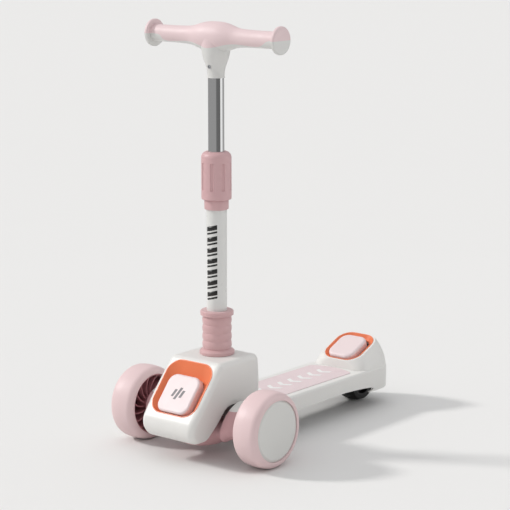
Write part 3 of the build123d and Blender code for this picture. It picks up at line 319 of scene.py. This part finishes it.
white_print = moulded("white_print", (0.84, 0.83, 0.82), rough=0.5, grain=0.0005, depth=0.00002,
                      drift=0.015, shine=0.4)
mat_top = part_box("grip_mat")[1].z
arrow_first, arrow_pitch, arrow_count = -0.036, 0.0265, 7
arrow_half, arrow_reach, arrow_width = 0.0135, 0.0085, 0.0085
arrow_bars = []
for i in range(arrow_count):
    y = arrow_first + i * arrow_pitch
    for side in (-1, 1):
        arrow_bars.append([(0, y), (side * arrow_half, y + arrow_reach),
                           (side * arrow_half, y + arrow_reach + arrow_width), (0, y + arrow_width)])
arrows = printed("mat_arrows", arrow_bars, lambda u, v, h: (u, v, mat_top + h), thick=0.00018, columns=3)
arrows.data.materials.append(white_print)
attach(arrows, "chassis")

# Deck base: a flat cover of matt grey plastic, held from below by zinc-plated screws.
base_plastic = moulded("base_plastic", (0.30, 0.30, 0.295), rough=0.6, grain=0.0010, depth=0.00007,
                       drift=0.03, shine=0.35)
dress(base_plastic, "deck_base")

# Screws, bolts, nuts, spacers and bearings: turned and pressed steel under bright zinc. The plating
# has a cold, slightly patchy tone and fine turning lines.
zinc_steel = moulded("zinc_steel", (0.52, 0.53, 0.55), rough=0.30, grain=0.0006, depth=0.00002,
                     drift=0.08, metal=1.0,
                     stretch=(1, 0.2, 1))
dress(zinc_steel, "deck_base_screws", "saddle_bolts", "hinge_bolt", "hinge_nut", "post_cross_bolt",
      "push_pad_spring", "brake_spring", "brake_hinge_pin", "rear_axle_bolt", "rear_axle_nut", "rear_spacers",
      "rear_bearings", "axle_bolt_left", "axle_bolt_right", "axle_nut_left", "axle_nut_right",
      "wheel_spacer_left", "wheel_spacer_right", "bearings_left", "bearings_right", "neck_screw")

# Front body: a white ABS hood moulded like the deck shell. It drops over the cast head and the
# truck, and its slanted face carries the dish.
dress(white_moulding, "front_shell")

# Front dish: an orange ABS ring pressed into the slanted face. The colour is in the plastic, and
# the bowl has a finer grain than the white parts and a soft gloss.
orange_moulding = moulded("orange_moulding", (0.80, 0.19, 0.070), rough=0.33, grain=0.0005, depth=0.00002,
                          drift=0.035, shine=0.5)
dress(orange_moulding, "front_ring", "rear_ring")

# Push pad: a pale pink cap that slides in a nylon tray on a steel spring. It is moulded with a
# softer feel than the shells, so its grain is low and its gloss broad.
pad_plastic = moulded("pad_plastic", (0.79, 0.665, 0.67), rough=0.42, grain=0.0006, depth=0.00002,
                      drift=0.012, shine=0.45)
dress(pad_plastic, "push_pad", "brake_pad")
dress(filled_nylon, "push_pad_tray")

# Pad spring: a short zinc-plated wire coil between the tray and the pad, which has 4 mm of travel.
# It is a copy of the CAD coil, fixed to the chassis in place of the CAD node.
pad_tilt = math.radians(50)
pad_out = Vector((0, -math.sin(pad_tilt), math.cos(pad_tilt)))
coil = bpy.data.objects.new("push_pad_coil", nodes["push_pad_spring"].data.copy())
scene.collection.objects.link(coil)
for spot in coil.material_slots:
    spot.material = zinc_steel
coil_points = [v.co for v in coil.data.vertices]
coil_foot = min(coil_points, key=lambda p: p.dot(pad_out)).copy()
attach(coil, "chassis")
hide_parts("push_pad_spring")
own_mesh(coil)

# Mark on the push pad: three grey slanted bars printed in the middle of its face, which show a
# child where to press.
pad_up = Vector((0, math.cos(pad_tilt), math.sin(pad_tilt)))
pad_points = [v.co for v in nodes["push_pad"].data.vertices]
pad_face = max(p.dot(pad_out) for p in pad_points)
face_depth = 0.0002
pad_spread = [p.dot(pad_up) for p in pad_points if p.dot(pad_out) > pad_face - face_depth]
pad_middle = (min(pad_spread) + max(pad_spread)) / 2
mark_half, mark_bold, mark_lean = 0.0105, 0.0024, 0.0028
mark_bars = []
for x, tall in ((-0.0078, 0.6), (0, 1), (0.0078, 0.6)):
    lean, half = mark_lean * tall, mark_half * tall
    mark_bars.append([(x - mark_bold - lean, -half), (x + mark_bold - lean, -half),
                      (x + mark_bold + lean, half), (x - mark_bold + lean, half)])


def on_pad(u, v, h):
    """A point u across the pad's face, v up it and h out of it."""
    return Vector((u, 0, 0)) + pad_up * (pad_middle + v) + pad_out * (pad_face + h)


pad_mark = printed("push_pad_mark", mark_bars, on_pad, thick=0.00015, columns=1)
grey_print = moulded("grey_print", (0.20, 0.19, 0.20), rough=0.5, grain=0.0005, depth=0.00002,
                     drift=0.03, shine=0.4)
pad_mark.data.materials.append(grey_print)
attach(pad_mark, "push_pad")

# Rear brake: a pink foot pad on a nylon lever, with a rubber shoe over the rear wheel.
brake_rubber = moulded("brake_rubber", (0.018, 0.018, 0.018), rough=0.75, grain=0.0012, depth=0.00012,
                       drift=0.08, shine=0.3)
dress(filled_nylon, "brake_lever")
dress(brake_rubber, "brake_shoe", "centring_spring_left", "centring_spring_right")

# Rear wheel: a black polyurethane tyre cast round a nylon rim. The parting line of the mould runs
# round the middle of the tread.


def cast_tyre(name, colour, middle, rough):
    """Cast polyurethane with a fine matt bloom, and a low ridge where the mould halves met."""
    ridge_inner, ridge_outer, ridge_height = 0.0002, 0.0006, 0.00012
    finish = moulded(name, colour, rough, grain=0.0011, depth=0.00005, drift=0.025, shine=0.4)
    tree = finish.node_tree
    place = tree.nodes.new("ShaderNodeTexCoord")
    split = tree.nodes.new("ShaderNodeSeparateXYZ")
    tree.links.new(place.outputs["Object"], split.inputs["Vector"])
    from_centre = add_math(finish, "ABSOLUTE", split.outputs["X"])
    away = add_math(finish, "ABSOLUTE", add_math(finish, "SUBTRACT", from_centre, middle))
    under = tree.nodes["Principled BSDF"].inputs["Normal"].links[0].from_socket
    add_bump(finish, add_range(finish, away, ridge_inner, ridge_outer, 1, 0), ridge_height, under)
    return finish


black_tyre = cast_tyre("black_tyre", (0.0115, 0.0115, 0.011), middle=0.0, rough=0.6)
dress(black_tyre, "rear_tyre")
dress(filled_nylon, "rear_rim")

# Truck: the lean-to-steer axle beam, a deep pink polypropylene moulding under the nose. Two white
# covers close the arches in front of the wheels.
truck_plastic = moulded("truck_plastic", (0.62, 0.36, 0.375), rough=0.42, grain=0.0008, depth=0.00004,
                        drift=0.03, shine=0.45)
dress(truck_plastic, "truck_housing")
dress(white_moulding, "arm_covers")
dress(filled_nylon, "hinge_bushes")

# Front wheels: pale pink polyurethane tyres on dusky rose nylon rims. A satin grey disc with a
# bevelled edge snaps over the outside of each.
pink_tyre = cast_tyre("pink_tyre", (0.75, 0.57, 0.575), middle=0.126, rough=0.46)
dress(pink_tyre, "tyre_left", "tyre_right")
rose_nylon = moulded("rose_nylon", (0.40, 0.155, 0.175), rough=0.45, grain=0.0009, depth=0.00005,
                     drift=0.05, shine=0.45)
dress(rose_nylon, "rim_left", "rim_right")
cap_plastic = moulded("cap_plastic", (0.70, 0.695, 0.67), rough=0.38, grain=0.0006, depth=0.00002,
                      drift=0.012, shine=0.45)
dress(cap_plastic, "hub_cap_left", "hub_cap_right")

# Head block: a sand-cast aluminium block inside the front body. It holds the foot of the post and
# the hinge of the truck, and nothing of it is polished.
cast_metal = moulded("cast_metal", (0.50, 0.50, 0.51), rough=0.55, grain=0.0014, depth=0.00015,
                     drift=0.06, metal=0.9)
dress(cast_metal, "head_block")

# Lower post: a 32 mm steel tube with a white powder coat. The cured powder leaves a soft orange
# peel about 2 mm across, glossier than the mouldings.
powder_coat = moulded("powder_coat", (0.72, 0.72, 0.70), rough=0.30, grain=0.0022, depth=0.00004,
                      drift=0.01, shine=0.55)
dress(powder_coat, "lower_tube")

# Stripes on the post: a black transfer film wrapped round the front of the tube, seven pairs of a
# wide and a thin slanted bar, one above another.
post_low, post_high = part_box("lower_tube")
post_axis = (post_low + post_high) / 2
post_radius = (post_high.x - post_low.x) / 2
stripe_facing = math.radians(9.5)
stripe_top, stripe_pitch = 0.358, 0.0172
stripe_half, stripe_lean = 0.0095, 0.0045
stripe_count = 7
wide_stripe, thin_stripe, thin_drop = 0.0072, 0.0030, 0.0094
stripe_bars = []
for i in range(stripe_count):
    for drop, bold in ((0, wide_stripe), (thin_drop, thin_stripe)):
        z = stripe_top - i * stripe_pitch - drop
        near, far = z - stripe_lean / 2, z + stripe_lean / 2
        stripe_bars.append([(-stripe_half, near), (stripe_half, far),
                            (stripe_half, far - bold), (-stripe_half, near - bold)])


def round_post(u, v, h):
    """A point u round the tube from the stripes' middle, v high and h off the paint."""
    turn = stripe_facing + u / post_radius
    reach = post_radius + h
    return (post_axis.x + reach * math.sin(turn), post_axis.y - reach * math.cos(turn), v)


stripes = printed("post_stripes", stripe_bars, round_post, thick=0.00012, columns=8)
black_film = moulded("black_film", (0.007, 0.007, 0.006), rough=0.32, grain=0.0009, depth=0.00001,
                     drift=0.03, shine=0.5)
stripes.data.materials.append(black_film)
for face in stripes.data.polygons:
    face.use_smooth = abs(face.normal.z) < 0.5
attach(stripes, "chassis")

# Boot: a soft pink bellows sleeve that hides the joint between the post and the front body.
soft_pink = moulded("soft_pink", (0.62, 0.385, 0.39), rough=0.48, grain=0.0010, depth=0.00005,
                    drift=0.025, shine=0.45)
soft_shader = soft_pink.node_tree.nodes["Principled BSDF"]
soft_shader.inputs["Sheen Weight"].default_value = 0.35
soft_shader.inputs["Sheen Roughness"].default_value = 0.4
dress(soft_pink, "post_boot")

# Height clamp: a pink collar with finger grooves turns on a sleeve and squeezes it on the tube.
# It is the same satin polypropylene as the handlebar, a shade deeper.
collar_plastic = moulded("collar_plastic", (0.62, 0.385, 0.395), rough=0.44, grain=0.0008, depth=0.00003,
                         drift=0.02, shine=0.5)
dress(collar_plastic, "clamp_collar", "clamp_ring")
dress(filled_nylon, "clamp_sleeve", "guide_bush")

# Upper tube: 25 mm steel, polished and chromed, so it shows the studio as bands. Fine drawing
# lines run along it under the chrome. A nylon plug closes its foot.
chrome = moulded("chrome", (0.60, 0.60, 0.60), rough=0.07, grain=0.0005, depth=0.000002,
                 drift=0.02, metal=1.0, stretch=(1, 1, 0.02))
dress(chrome, "upper_tube")
dress(filled_nylon, "foot_plug")

# Handlebar: a steel T inside two half shells. The upper one is pale pink and the lower one white,
# and they meet along the middle of the grips and the end discs.
handle_pink = moulded("handle_pink", (0.755, 0.59, 0.60), rough=0.5, grain=0.0008, depth=0.00003,
                      drift=0.018, shine=0.5)
dress(handle_pink, "bar_upper_shell")
# The lower shell's white is a darker copy of the white moulding: partly the shell's own tone, partly painted
# shade for the neck and the underside of the bar.
handle_white_painted_shade = moulded("handle_white_painted_shade", (0.68, 0.675, 0.655), rough=0.36, grain=0.0007, depth=0.000035,
                       drift=0.012)
dress(handle_white_painted_shade, "bar_lower_shell")
dress(zinc_steel, "bar_core")

# Every CAD surface is shown smooth, as the round mouldings and tubes really are.
for node in nodes.values():
    for polygon in node.data.polygons:
        polygon.use_smooth = True
